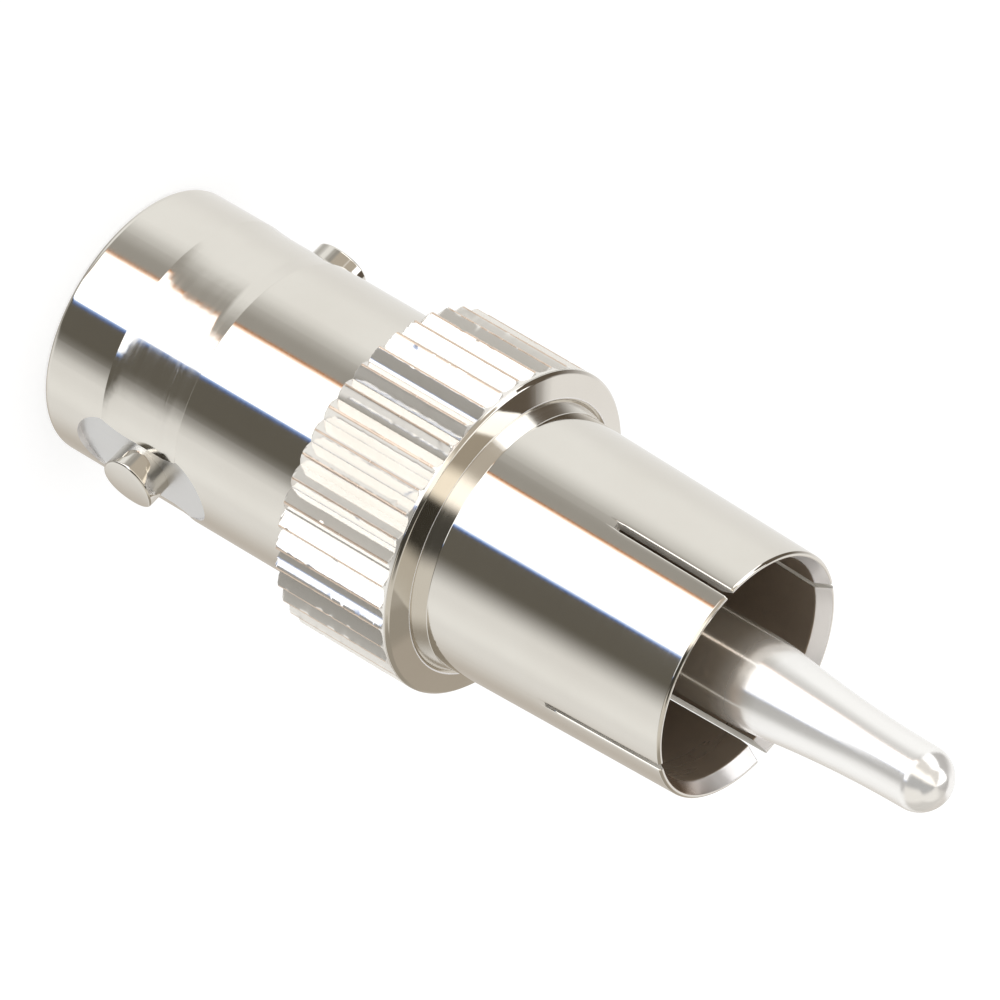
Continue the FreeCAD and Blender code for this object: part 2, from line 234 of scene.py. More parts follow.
def platedMetal(name, look):
    material, nodes, links, shader = newFinish(name)
    coords = nodes.new("ShaderNodeTexCoord").outputs["Object"]
    cloud = stretchedNoise(nodes, links, coords, even, 4, 0.6, look["cloudScale"])
    rings = stretchedNoise(nodes, links, coords, look["ringStretch"], 3, 0.6)
    grain = stretchedNoise(nodes, links, coords, even, 2, 0.5, look["grainScale"])
    wave = stretchedNoise(nodes, links, coords, even, 2, 0.5, look["waveScale"])
    clouded = mixColour(nodes, links, ramped(nodes, links, cloud, 0, 1), look["colour"], look["shade"])
    links.new(clouded, shader.inputs["Base Color"])
    shader.inputs["Metallic"].default_value = look.get("metal", 1.0)
    links.new(ramped(nodes, links, rings, *look["roughness"]), shader.inputs["Roughness"])
    layers = [(wave, look["waveDepth"]), (rings, look["ringDepth"]), (grain, look["grainDepth"])]
    links.new(bumpChain(nodes, links, layers), shader.inputs["Normal"])
    return material


def dullPlastic(name, look):
    material, nodes, links, shader = newFinish(name)
    coords = nodes.new("ShaderNodeTexCoord").outputs["Object"]
    cloud = stretchedNoise(nodes, links, coords, even, 4, 0.6, look["cloudScale"])
    grain = stretchedNoise(nodes, links, coords, even, 3, 0.6, look["grainScale"])
    clouded = mixColour(nodes, links, ramped(nodes, links, cloud, 0, 1), look["colour"], look["shade"])
    links.new(clouded, shader.inputs["Base Color"])
    links.new(ramped(nodes, links, grain, *look["roughness"]), shader.inputs["Roughness"])
    shader.inputs["Subsurface Weight"].default_value = look["depth"]
    shader.inputs["Subsurface Radius"].default_value = lightReach
    shader.inputs["Subsurface Scale"].default_value = 1.0
    links.new(bumpChain(nodes, links, [(grain, look["grainDepth"])]), shader.inputs["Normal"])
    return material


nickel = {"colour": (0.765, 0.738, 0.685), "shade": (0.735, 0.705, 0.65), "cloudScale": 260,
          "ringStretch": (30, 30, 9000), "roughness": (0.05, 0.085), "ringDepth": 6e-8,
          "grainScale": 2600, "grainDepth": 1.2e-7, "waveScale": 900, "waveDepth": 8e-7}
turnedNickel = platedMetal("turnedNickel", nickel)
reliefNickel = platedMetal("reliefNickel", {
    **nickel, "roughness": (0.07, 0.15), "ringDepth": 1.5e-7, "ringStretch": (60, 60, 5000),
    "grainDepth": 6e-7, "waveScale": 1300, "waveDepth": 3e-6})
milledNickel = platedMetal("milledNickel", {
    **nickel, "colour": (0.79, 0.80, 0.81), "shade": (0.76, 0.77, 0.78), "roughness": (0.30, 0.42),
    "ringDepth": 8e-8, "ringStretch": (300, 3200, 300)})
# ridgeNickel is the same nickel made paler and partly non-metallic so the collar's ridges stay bright:
# painted highlight
ridgeNickel = platedMetal("ridgeNickel", {
    **nickel, "colour": (0.87, 0.845, 0.80), "shade": (0.84, 0.81, 0.76), "roughness": (0.05, 0.11),
    "ringDepth": 1.5e-7, "metal": 0.66, "ringStretch": (2500, 2500, 160), "grainDepth": 3e-7,
    "waveScale": 2200, "waveDepth": 1.2e-6})
wornNickel = platedMetal("wornNickel", {
    **nickel, "colour": (0.82, 0.66, 0.53), "shade": (0.58, 0.47, 0.38), "roughness": (0.14, 0.3),
    "metal": 0.6, "grainDepth": 6e-7})
# boreNickel is the same nickel made darker and browner for the faces inside the bores: painted shade
boreNickel = platedMetal("boreNickel", {
    **nickel, "colour": (0.55, 0.46, 0.365), "shade": (0.50, 0.415, 0.33), "roughness": (0.26, 0.32),
    "ringStretch": (60, 60, 900), "metal": 0.72, "ringDepth": 2e-8, "grainDepth": 1e-7})
# sawnNickel is mostly non-metallic so the slot walls take a pale diffuse tone from the room: painted light
sawnNickel = platedMetal("sawnNickel", {
    **nickel, "colour": (0.78, 0.76, 0.71), "shade": (0.50, 0.47, 0.42), "roughness": (0.2, 0.4),
    "ringDepth": 5e-7, "metal": 0.35, "ringStretch": (3000, 3000, 400)})
ringNickel = platedMetal("ringNickel", {**nickel, "roughness": (0.12, 0.17)})
# the pale nickel below is the same nickel made paler and mostly non-metallic, so it stays bright under any
# light: a painted highlight for the lip's edge, the walls of the flats' pockets and the sleeve's rim
pale = {**nickel, "colour": (0.94, 0.92, 0.915), "shade": (0.90, 0.88, 0.87),
        "roughness": (0.16, 0.26), "metal": 0.4}
paleHighlightNickel = platedMetal("paleHighlightNickel", pale)


def withPaintedShade(name, look):
    # painted shade: darker and browner up to the first place along one axis, unshaded from the second on
    material = platedMetal(name, look)
    nodes, links = material.node_tree.nodes, material.node_tree.links
    shader = nodes["Principled BSDF"]
    coords = nodes.new("ShaderNodeTexCoord")
    split = nodes.new("ShaderNodeSeparateXYZ")
    links.new(coords.outputs["Object"], split.inputs["Vector"])
    unshaded = ramped(nodes, links, split.outputs[look["axis"]], 0, 1, look["first"], look["second"])
    bright = shader.inputs["Base Color"].links[0].from_socket
    metal = ramped(nodes, links, unshaded, look["paintedShadeMetal"], look["metal"], 0, 1)
    links.new(mixColour(nodes, links, unshaded, look["paintedShade"], bright), shader.inputs["Base Color"])
    links.new(metal, shader.inputs["Metallic"])
    return material


# pinNickel: painted shade in brown on the pin below the sleeve's mouth; above it a near-white, half
# non-metallic nickel that stays bright: painted highlight
pinNickel = withPaintedShade("pinNickel", {
    **nickel, "colour": (0.97, 0.96, 0.94), "shade": (0.945, 0.93, 0.905),
    "axis": "Z", "first": 0.0256, "second": 0.0274, "paintedShade": (0.72, 0.66, 0.56), "paintedShadeMetal": 0.84,
    "metal": 0.55, "roughness": (0.14, 0.20), "waveDepth": 1.2e-6})
# rimNickel: the pale nickel as a painted highlight on the sleeve's mouth rim, with painted shade in dark
# brown on the rim's side towards +X
rimNickel = withPaintedShade("rimNickel", {
    **pale, "axis": "X", "first": 0.0036, "second": 0.0020, "paintedShade": (0.34, 0.25, 0.18),
    "paintedShadeMetal": 0.8})
goldPlate = platedMetal("goldPlate", {
    **nickel, "colour": (0.86, 0.62, 0.27), "shade": (0.8, 0.55, 0.22), "roughness": (0.16, 0.26),
    "ringDepth": 3e-7})
waxyWhite = dullPlastic("waxyWhite", {
    "colour": (0.86, 0.85, 0.81), "shade": (0.8, 0.785, 0.74), "cloudScale": 400, "grainScale": 5200,
    "grainDepth": 1.2e-6, "roughness": (0.34, 0.46), "depth": 0.3})
darkResin = dullPlastic("darkResin", {
    "colour": (0.14, 0.105, 0.075), "shade": (0.10, 0.075, 0.055), "cloudScale": 500, "grainScale": 4200,
    "grainDepth": 2e-6, "roughness": (0.42, 0.56), "depth": 0.0})
print("finishes made")


# jack shell: barrel, relief, lugs on their flats, collar with its ridges

shell = {
    "barrel": 4.80, "rimRound": 0.22, "mouth": 4.06, "mouthDepth": 5.30, "bevel": 4.26, "bevelHigh": 0.20,
    "relief": 4.735, "reliefLow": 2.53, "reliefFull": 3.1, "reliefEven": 3.9, "reliefEnd": 5.15,
    "reliefHigh": 5.73, "reliefStep": 0.024,
    "collar": 5.85, "collarLow": 10.90, "collarHigh": 15.80, "foot": 5.30, "frontBevel": 0.10,
    "backBevel": 0.24, "backLong": 0.16, "grooveLow": 11.12, "grooveHigh": 15.64, "runOut": 0.14,
    "valley": 5.45, "ridges": 42, "leanUp": 42.5, "leanDown": 44.0, "turn": -1.4, "seed": 7,
    "crest": 0.022, "crestShort": 0.2, "burrFrom": 3.1, "fineDepth": 0.012, "fineScale": (50, 9, 3.7),
    "chipDepth": 0.10, "chipFrom": 0.32, "chipScale": (30, 3.2, 9.1),
    "lip": 16.00, "seat": 4.88, "lipBevel": 0.08, "seatLow": 13.0, "core": 3.60, "coreLow": 7.0, "nose": 2.40,
    "flat": 4.58, "cutter": 1.5, "cutterReach": 6.2, "flatLow": 2.88, "flatHigh": 5.38,
    "lugRadius": 1.0, "lugHeight": 4.13, "lugReach": 5.50, "lugFoot": 4.35,
    "markHigh": 4.90, "markFrom": -56, "markTo": -38, "markDepth": 0.004,
}
ridgeOffsets = [0, 0.3, 2.0, 3.3, 3.8, 4.08]    # degrees from a groove's middle
grooveRanges = {"shift": (-0.1, 0.1), "rise": (0, 0.015), "short": (-0.01, 0.10), "burr": (0.3, 1.0)}
shellFinishes = {"turned": turnedNickel, "relief": reliefNickel, "milled": milledNickel, "ridge": ridgeNickel,
                 "bore": boreNickel, "paleHighlight": paleHighlightNickel, "worn": wornNickel}


def ridgeColumns():
    # (ridge, degrees from its groove's middle), with one more column on each crest
    pitch = 360 / shell["ridges"]
    sides = [(offset, -1) for offset in ridgeOffsets[:0:-1]] + [(offset, 1) for offset in ridgeOffsets]
    sides.append((pitch / 2, 1))
    return [(ridge, offset * side) for ridge in range(shell["ridges"]) for offset, side in sides]


def shellOutline():
    # the outline, the place of the first groove row in it and how many groove rows there are
    s = shell
    points = softOutline([
        (s["bevel"], 0, 0.03), (s["barrel"], 0, s["rimRound"], 6),
        (s["barrel"], s["reliefLow"], 0.005), (s["relief"], s["reliefFull"], 0.5, 10),
        (s["relief"], s["reliefEven"]),
        *[(s["relief"], s["markHigh"] + step) for step in (-0.06, -0.025, 0, 0.025, 0.06)],
        (s["relief"], s["reliefEnd"], 0.08, 4),
        (s["barrel"] - s["reliefStep"], s["reliefHigh"] - s["reliefStep"]),
        (s["barrel"], s["reliefHigh"], 0.005),
        (s["barrel"], s["collarLow"], 0.08), (s["foot"], s["collarLow"]),
        (s["collar"], s["collarHigh"] - s["frontBevel"], 0.03),
        (s["collar"] - s["frontBevel"], s["collarHigh"], 0.03),
        (s["seat"] + s["lipBevel"], s["lip"], 0.035, 6), (s["seat"], s["lip"] - s["lipBevel"], 0.015),
        (s["seat"], s["seatLow"]), (s["core"], s["seatLow"]), (s["core"], s["coreLow"]),
        (s["nose"], s["coreLow"]), (s["nose"], s["mouthDepth"]),
        (s["mouth"], s["mouthDepth"], 0.12), (s["mouth"], s["bevelHigh"], 0.03),
    ], 0.004)
    low, start, high = s["collarLow"], s["grooveLow"], s["grooveHigh"] + 0.02
    last = high - s["runOut"] - 0.1
    heights = [low + s["backLong"] * k / 6 for k in range(7)]
    heights += [start + (last - start) * k / 62 for k in range(62)]
    heights += [last + (high - last) * k / 14 for k in range(15)]
    first = next(i for i, (r, z) in enumerate(points) if r > s["collar"] - 0.01 and z > start)
    return points[:first] + [(grooveTop(z), z) for z in heights] + points[first:], first, len(heights)


def grooveTop(z):
    back = max(0, 1 - (z - shell["collarLow"]) / shell["backLong"])
    return shell["collar"] - shell["backBevel"] * back ** 2


def ridgeRadius(offset, z, groove):
    # the radius beside a V cut, and how much of the cut's depth is reached at this height
    s = shell
    top = s["collar"]
    outTo = min(1, max(0, (s["grooveHigh"] - groove["short"] - z) / s["runOut"]))
    share = sqrt(1 - (1 - outTo) ** 2)
    lean = radians(s["leanUp"] if offset < groove["shift"] else s["leanDown"])
    across = radians(abs(offset - groove["shift"]))
    floor = top - (top - s["valley"] - groove["rise"]) * share
    gap, soft = top - floor * cos(lean) / cos(across + lean), 0.012 * share
    return min(grooveTop(z), top - (gap + sqrt(gap * gap + soft * soft)) / 2), share


def burrBite(azimuth, z):
    # how deep the worn crest is bitten here: scales are (round the axis, along it) and a place in the noise
    s = shell
    fine, chip = [noise.noise(Vector((azimuth * around, z * along, place)))
                  for around, along, place in (s["fineScale"], s["chipScale"])]
    return s["fineDepth"] * abs(fine) + s["chipDepth"] * max(0, chip - s["chipFrom"])


def shellFinishAt(p):
    s, c = shell, p.center / mm
    radius = hypot(c.x, c.y)
    if abs(p.normal.x) > 0.9999 and abs(abs(c.x) - s["flat"]) < 0.01:
        return "milled"
    # the bore's faces get the darker, browner boreNickel: painted shade
    if radius < s["mouth"] + 0.1 and c.z > 0.1:
        return "bore"
    if s["reliefLow"] < c.z < s["reliefHigh"] and radius < s["barrel"] - 0.001:
        return "relief"
    if radius > s["foot"] + 0.1 and s["collarLow"] < c.z < s["grooveHigh"] + 0.02:
        onCrest = radius > s["collar"] - s["crest"] and c.z < s["grooveHigh"] - s["crestShort"]
        return "worn" if onCrest else "ridge"
    # the walls of the flats' pockets and the lip's edge get the pale nickel: painted highlight
    besideFlat = abs(c.x) > s["flat"] and c.z < s["coreLow"] + 1 and abs(p.normal.x) < 0.01
    offLug = abs(c.z - s["lugHeight"]) > s["lugRadius"] + 0.1
    onLip = c.z > s["lip"] - 0.014 and radius < s["seat"] + s["lipBevel"] + 0.05
    return "paleHighlight" if besideFlat and offLug and radius < s["barrel"] + 0.01 or onLip else "turned"


def buildShell():
    s = shell
    random.seed(s["seed"])
    columns = ridgeColumns()
    pitch = 2 * pi / s["ridges"]
    angles = [(ridge + 0.5) * pitch + radians(offset + s["turn"]) for ridge, offset in columns]
    grooves = [{key: random.uniform(*span) for key, span in grooveRanges.items()}
               for ridge in range(s["ridges"])]
    outline, first, count = shellOutline()
    marks = [j for j, (r, z) in enumerate(outline) if abs(z - s["markHigh"]) < 1e-6]

    def outlineAt(k):
        ridge, offset = columns[k]
        points, azimuth = list(outline), angles[k]
        for j in range(first, first + count):
            z = points[j][1]
            radius, share = ridgeRadius(offset, z, grooves[ridge])
            if abs(offset) > s["burrFrom"]:
                radius -= burrBite(azimuth, z) * share * grooves[ridge]["burr"]
            points[j] = (radius, z)
        turn = (azimuth + pi) % (2 * pi) - pi
        if radians(s["markFrom"]) < turn < radians(s["markTo"]):
            for j in marks:
                points[j] = (points[j][0] - s["markDepth"], points[j][1])
        return points

    mesh = turnedMesh("jack_shell", outlineAt, angles)
    piece = addPiece("jackShell", mesh, "nickel_shell", "jack_shell")
    cutWith(piece, [flatTool(1), flatTool(-1)], "DIFFERENCE")
    cutWith(piece, [lugTool(1), lugTool(-1)], "UNION")
    for material in shellFinishes.values():
        piece.data.materials.append(material)
    places = list(shellFinishes)
    for p in piece.data.polygons:
        p.material_index = places.index(shellFinishAt(p))
    smoothShading(piece, 26, lambda p: places[p.material_index] == "milled")
    return piece


lugRings = [(0.0, 0), (0.35, 0), (0.7, 0), (0.92, 0), (0.94, 0.002), (0.965, 0.012), (0.99, 0.035),
            (1.0, 0.055), (1.0, 0.08)]    # share of the lug's radius, drop below its end


def lugTool(side):
    s, count = shell, 64
    verts, faces = [], []
    rings = lugRings + [(1.0, None)]
    for ring, (share, drop) in enumerate(rings):
        for k in range(count):
            a = 2 * pi * k / count
            y, z = share * s["lugRadius"] * cos(a), share * s["lugRadius"] * sin(a)
            x = s["lugFoot"] if drop is None else sqrt(s["lugReach"] ** 2 - y * y) - drop
            verts.append((side * x, y, s["lugHeight"] + z))
            if ring:
                a0, a1 = ring * count + k, ring * count + (k + 1) % count
                faces.append((a0, a1, a1 - count, a0 - count))
    faces.append(tuple(range((len(rings) - 1) * count, len(rings) * count)))
    return toolFrom("lugTool", verts, faces)


def flatTool(side):
    # a slot with round ends, as a small end mill leaves it
    s, loop = shell, []
    for start, middle in ((0, s["flatHigh"]), (pi, s["flatLow"])):
        for k in range(49):
            a = start + pi * k / 48
            loop.append((s["cutter"] * cos(a), middle + s["cutter"] * sin(a)))
    return prism("flatTool", loop, s["flat"], s["cutterReach"], lambda u, v, w: (side * w, u, v))


jackShell = buildShell()
print("jack shell:", len(jackShell.data.polygons), "faces")


# phono sleeve: tapering tube slit into four spring fingers

sleeve = {"root": 4.88, "rootLow": 13.0, "rootHigh": 15.92, "step": 4.66, "stepHigh": 16.45, "rim": 4.42,
          "mouth": 25.95, "mouthBevel": 0.07, "mouthOuter": 4.36, "mouthInner": 4.27,
          "inner": 4.24, "innerRim": 4.00, "innerHigh": 25.45, "beadHigh": 17.90,
          "slots": (0.24, 0.20, 0.22, 0.26), "slotLow": 21.25, "slotTurn": 3.6, "columns": 150,
          "chip": 0.24, "chipLow": 25.0, "chipSlot": 1, "chipTurn": 20,
          "bends": (0.0, 0.02, 0.008, 0.03)}    # inward bend of each finger at the mouth
slotEdges = [(0.0, 0.04), (0.012, 0.016), (0.03, 0.004), (0.06, 0)]    # distance from the slot's side, drop
sleeveFinishes = {"turned": turnedNickel, "bore": boreNickel, "sawn": sawnNickel, "rim": rimNickel,
                  "ring": ringNickel}


def taperAt(low, high, lowRadius, highRadius, z):
    return lowRadius + (highRadius - lowRadius) * ((z - low) / (high - low))


def sleeveOutline():
    s = sleeve
    rimHigh = s["mouth"] - s["mouthBevel"]
    outerSlot = taperAt(s["stepHigh"], rimHigh, s["step"], s["rim"], s["slotLow"])
    innerSlot = taperAt(s["beadHigh"], s["innerHigh"], s["inner"], s["innerRim"], s["slotLow"])
    return softOutline([
        (s["inner"], s["rootLow"]), (s["root"], s["rootLow"]), (s["root"], s["rootHigh"], 0.012, 3, 8),
        (s["step"], s["stepHigh"], 0.025, 6, 14), (outerSlot, s["slotLow"], 0, 3, 16),
        (s["rim"], rimHigh, 0.025, 3), (s["mouthOuter"], s["mouth"], 0.02, 3),
        (s["mouthInner"], s["mouth"], 0.02), (s["innerRim"], s["innerHigh"], 0.06, 3, 14),
        (innerSlot, s["slotLow"], 0, 3, 10), (s["inner"], s["beadHigh"]),
    ], 0.01)


def sleeveColumns():
    # (slot number, distance from its middle, edge drop) beside a slot, or (None, angle, 0) between slots
    s, columns = sleeve, []
    wide = 90 - 2 * s["slotTurn"]
    for slot, width in enumerate(s["slots"]):
        columns += [(slot, -width / 2 - across, drop) for across, drop in slotEdges[::-1]]
        columns += [(slot, width / 2 + across, drop) for across, drop in slotEdges]
        columns += [(None, radians(slot * 90 + s["slotTurn"] + wide * k / (s["columns"] - 1)), 0)
                    for k in range(s["columns"])]
    return columns


def sleevePoint(column, radius, z):
    # the (x, y) of a column's point, with one finger corner worn back towards the mouth
    s = sleeve
    slot, across, drop = column
    chip = s["chip"] * max(0, (z - s["chipLow"]) / (s["mouth"] - s["chipLow"])) ** 2
    if slot is None:
        off = 1 - (s["chipSlot"] * pi / 2 - across) / radians(s["chipTurn"])
        angle = across - (chip / radius * off if 0 < off < 1 else 0)
        return radius * cos(angle), radius * sin(angle)
    beside = across - (chip if slot == s["chipSlot"] and across < 0 else 0)
    along, turn = sqrt(radius ** 2 - beside ** 2), slot * pi / 2
    return along * cos(turn) - beside * sin(turn), along * sin(turn) + beside * cos(turn)


def sleeveFinishAt(p):
    c = p.center / mm
    facing = p.normal.dot(Vector((c.x, c.y, 0)).normalized())
    # the mouth rim gets rimNickel (painted highlight, with painted shade on one side) and the inside gets the
    # darker boreNickel: painted shade
    if facing < -0.3 and c.z > sleeve["innerHigh"]:
        return "rim"
    if facing < -0.9:
        return "bore"
    return "ring" if c.z < sleeve["stepHigh"] - 0.02 else "turned"


def buildSleeve():
    s, places = sleeve, list(sleeveFinishes)
    outline, columns = sleeveOutline(), sleeveColumns()
    rows = len(outline)
    slotRows = [j for j, (r, z) in enumerate(outline) if z > s["slotLow"] - 1e-6]
    top = max(slotRows, key=lambda j: outline[j][1] + outline[j][0] * 0.001)
    verts, faces, sawn = [], [], []
    for slot, across, drop in columns:
        finger = int(across // (pi / 2)) % 4 if slot is None else (slot - (across < 0)) % 4
        for j, (r, z) in enumerate(outline):
            above = max(0, (z - s["slotLow"]) / (s["mouth"] - s["slotLow"]))
            edge = drop * (1 if j <= top else -0.4) if above > 0 else 0
            x, y = sleevePoint((slot, across, drop), r - s["bends"][finger] * above ** 2 - edge, z)
            verts.append((x * mm, y * mm, z * mm))
    for k, (slot, across, drop) in enumerate(columns):
        a, b = k * rows, (k + 1) % len(columns) * rows
        gap = slot is not None and abs(across + s["slots"][slot] / 2) < 1e-6
        for j in range(rows):
            n = (j + 1) % rows
            if not (gap and j in slotRows and n in slotRows):
                faces.append((a + j, b + j, b + n, a + n))
        if gap:
            sawn += [len(faces), len(faces) + 1, len(faces) + 2]
            faces.append((a + slotRows[0], b + slotRows[0], b + slotRows[-1], a + slotRows[-1]))
            faces.append(tuple(a + j for j in slotRows))
            faces.append(tuple(b + j for j in reversed(slotRows)))
    mesh = bpy.data.meshes.new("phono_sleeve")
    mesh.from_pydata(verts, [], faces)
    for face in sawn:
        mesh.polygons[face].material_index = places.index("sawn")
    tidyMesh(mesh)
    piece = addPiece("phonoSleeve", mesh, "nickel_sleeve", "phono_sleeve")
    for material in sleeveFinishes.values():
        mesh.materials.append(material)
    for p in mesh.polygons:
        if places[p.material_index] != "sawn":
            p.material_index = places.index(sleeveFinishAt(p))
    smoothShading(piece, 30, lambda p: places[p.material_index] == "sawn")
    return piece


phonoSleeve = buildSleeve()
print("phono sleeve:", len(phonoSleeve.data.polygons), "faces")


# centre pin

pin = {"stub": 0.70, "shank": 1.10, "body": 1.60, "low": 10.0, "shoulder": 13.0, "bead": 17.9,
       "edge": 0.03, "easeLow": 25.9, "easeHigh": 27.4, "easeDrop": 0.1, "ease": 1.50,
       "noseLow": 33.05, "nose": 1.12}


def buildPin():
    s = pin
    points = [(0, s["low"]), (s["stub"], s["low"]), (s["stub"], s["shoulder"]), (s["shank"], s["shoulder"]),
              (s["shank"], s["bead"]), (s["body"] - s["edge"], s["bead"]), (s["body"], s["bead"] + s["edge"])]
    points += [(s["body"], s["bead"] + 0.1 + 0.5 * k) for k in range(16)]
    easeRadius = ((s["easeHigh"] - s["easeLow"]) ** 2 + s["easeDrop"] ** 2) / (2 * s["easeDrop"])
    drop = s["ease"] - s["nose"]
    taperRadius = ((s["noseLow"] - s["easeHigh"]) ** 2 + drop ** 2) / (2 * drop)
    for k in range(1, 13):
        z = s["easeLow"] + (s["easeHigh"] - s["easeLow"]) * k / 12
        points.append((s["body"] - easeRadius + sqrt(easeRadius ** 2 - (z - s["easeLow"]) ** 2), z))
    for k in range(1, 31):
        z = s["easeHigh"] + (s["noseLow"] - s["easeHigh"]) * k / 30
        points.append((s["nose"] + taperRadius - sqrt(taperRadius ** 2 - (s["noseLow"] - z) ** 2), z))
    points += [(s["nose"] * cos(pi / 2 * k / 24), s["noseLow"] + s["nose"] * sin(pi / 2 * k / 24))
               for k in range(1, 25)]
    mesh = turnedMesh("centre_pin", lambda k: points, evenAngles(160), closed=False)
    piece = addPiece("centrePin", mesh, "nickel_pin", "centre_pin")
    piece.data.materials.append(pinNickel)
    smoothShading(piece, 30)
    return piece


centrePin = buildPin()
print("centre pin:", len(centrePin.data.polygons), "faces")


# inside: insulators and the socket contact

inside = {"bore": 1.25, "nose": 2.40, "noseLow": 0.25, "core": 3.60, "tail": 1.50, "step": 6.5,
          "coreLow": 7.0, "seat": 13.0, "socket": 1.05, "socketBore": 0.69, "socketLow": 0.45,
          "socketDeep": 5.85, "funnel": 0.81, "funnelHigh": 0.57, "tailBore": 0.7, "tailLow": 10.0,
          "tine": 0.20, "tineHigh": 4.35}
bead = {"bore": 1.10, "radius": 4.24, "low": 13.0, "high": 17.9, "soft": 0.05}


def buildInside():
    s = inside
    white = softOutline([(s["bore"], s["noseLow"], 0.06), (s["nose"], s["noseLow"], 0.15, 5),
                         (s["nose"], s["coreLow"]), (s["core"], s["coreLow"]), (s["core"], s["seat"]),
                         (s["tail"], s["seat"]), (s["tail"], s["step"]), (s["bore"], s["step"])], 0.01)
    mesh = turnedMesh("jack_insulator", lambda k: white, evenAngles(192))
    insulator = addPiece("jackInsulator", mesh, "white_insulator", "jack_insulator")
    insulator.data.materials.append(waxyWhite)
    smoothShading(insulator, 30)

    gold = softOutline([(0, s["socketDeep"]), (s["socketBore"], s["socketDeep"]),
                        (s["socketBore"], s["funnelHigh"], 0.02), (s["funnel"], s["socketLow"], 0.02),
                        (s["socket"], s["socketLow"], 0.08), (s["socket"], s["step"]), (s["tail"], s["step"]),
                        (s["tail"], s["seat"]), (s["tailBore"], s["seat"]), (s["tailBore"], s["tailLow"]),
                        (0, s["tailLow"])], 0.01, closed=False)
    mesh = turnedMesh("socket_contact", lambda k: gold, evenAngles(120, pi / 120), closed=False)
    contact = addPiece("socketContact", mesh, "gold_contact", "socket_contact")
    half = s["tine"] / 2
    loop = [(-half, 0.1), (half, 0.1), (half, s["tineHigh"]), (-half, s["tineHigh"])]
    cutWith(contact, [prism("tineTool", loop, -3, 3, lambda u, v, w: (w, u, v)),
                      prism("tineTool", loop, -3, 3, lambda u, v, w: (u, w, v))], "DIFFERENCE")
    contact.data.materials.append(goldPlate)
    smoothShading(contact, 30)

    dark = softOutline([(bead["bore"], bead["low"]), (bead["radius"], bead["low"]),
                        (bead["radius"], bead["high"], bead["soft"]),
                        (bead["bore"], bead["high"], bead["soft"])], 0.01)
    mesh = turnedMesh("plug_insulator", lambda k: dark, evenAngles(192))
    plugInsulator = addPiece("plugInsulator", mesh, "dark_bead", "plug_insulator")
    plugInsulator.data.materials.append(darkResin)
    smoothShading(plugInsulator, 30)


buildInside()
print("insulators and socket contact made")


# studio: cards round the object, seen only in the metal, over a plain white room

tones = {"pale": (1.0, 1.0, 0.985), "soft": (0.92, 0.915, 0.90), "low": (0.60, 0.555, 0.50),
         "grey": (0.40, 0.385, 0.355), "rust": (0.50, 0.19, 0.05), "amber": (1.15, 0.46, 0.08),
         "bright": (1.95, 1.95, 1.95), "sky": (0.5, 0.75, 1.3), "navy": (0.10, 0.17, 0.42),
         "dark": (0.14, 0.129, 0.107), "dim": (0.97, 0.955, 0.94), "umber": (0.13, 0.105, 0.08),
         "smoke": (0.56, 0.505, 0.43), "cream": (1.6, 1.5, 1.35), "ink": (0.06, 0.055, 0.045),
         "tan": (0.74, 0.70, 0.63), "drab": (0.38, 0.345, 0.29), "olive": (0.48, 0.43, 0.365),
         "ground": (0.46, 0.45, 0.43)}
studio = {
    "facing": -63.5,
    # degrees off the camera's side and the tone there, below the horizon and above it
    "low": [(-180, "soft"), (-130, "soft"), (-100, "pale"), (-78, "pale"), (-43, "grey"), (-36.6, "grey"),
            (-35.4, "rust"), (-34.0, "amber"), (-33.4, "bright"), (12.4, "bright"), (13.8, "sky"),
            (15.2, "navy"), (17, "dark"), (39, "dark"), (69, "soft"), (90, "pale"), (104, "soft"),
            (150, "low"), (180, "low")],
    "high": [(-180, "dim"), (-158, "dim"), (-121, "umber"), (-91, "umber"), (-89, "bright"), (-58, "bright"),
             (-55, "smoke"), (-28, "smoke"), (-14, "cream"), (-2, "cream"), (9, "ink"), (38, "ink"),
             (56, "tan"), (92, "tan"), (112, "drab"), (140, "drab"), (158, "olive"), (170, "olive"),
             (180, "dim")],
    # each span runs over the height of the ray, from -1 at the ground to 1 at the zenith
    "highSpan": (-0.22, -0.08), "groundSpan": (-0.80, -0.95),
    "fan": 0.65, "fanSpan": (0.59, 0.73),    # the high cards spread towards the zenith
    # the bright card's upper edge leans over below and spreads above; sides are in radians
    "slant": -1.2, "slantSpan": (-0.50, -1.0), "slantSide": (-0.35, 0.21),
    "spread": (0.14, -0.30), "spreadSpan": (-0.385, -0.33), "spreadSide": (-0.73, 0.52),
}


def cardRamp(nodes, links, around, stops):
    share = addNode(nodes, "ShaderNodeMapRange", {"From Min": -pi, "From Max": pi})
    links.new(around, share.inputs["Value"])
    ramp = nodes.new("ShaderNodeValToRGB")
    ramp.color_ramp.interpolation = "EASE"
    elements = ramp.color_ramp.elements
    while len(elements) < len(stops):
        elements.new(0.5)
    for element, (angle, tone) in zip(elements, stops):
        element.position = (angle + 180) / 360
        element.color = (*tones[tone], 1)
    links.new(share.outputs["Result"], ramp.inputs["Fac"])
    return ramp.outputs["Color"]


def joined(nodes, links, operation, first, second):
    node = addNode(nodes, "ShaderNodeMath", operation=operation)
    links.new(first, node.inputs[0])
    links.new(second, node.inputs[1])
    return node.outputs["Value"]


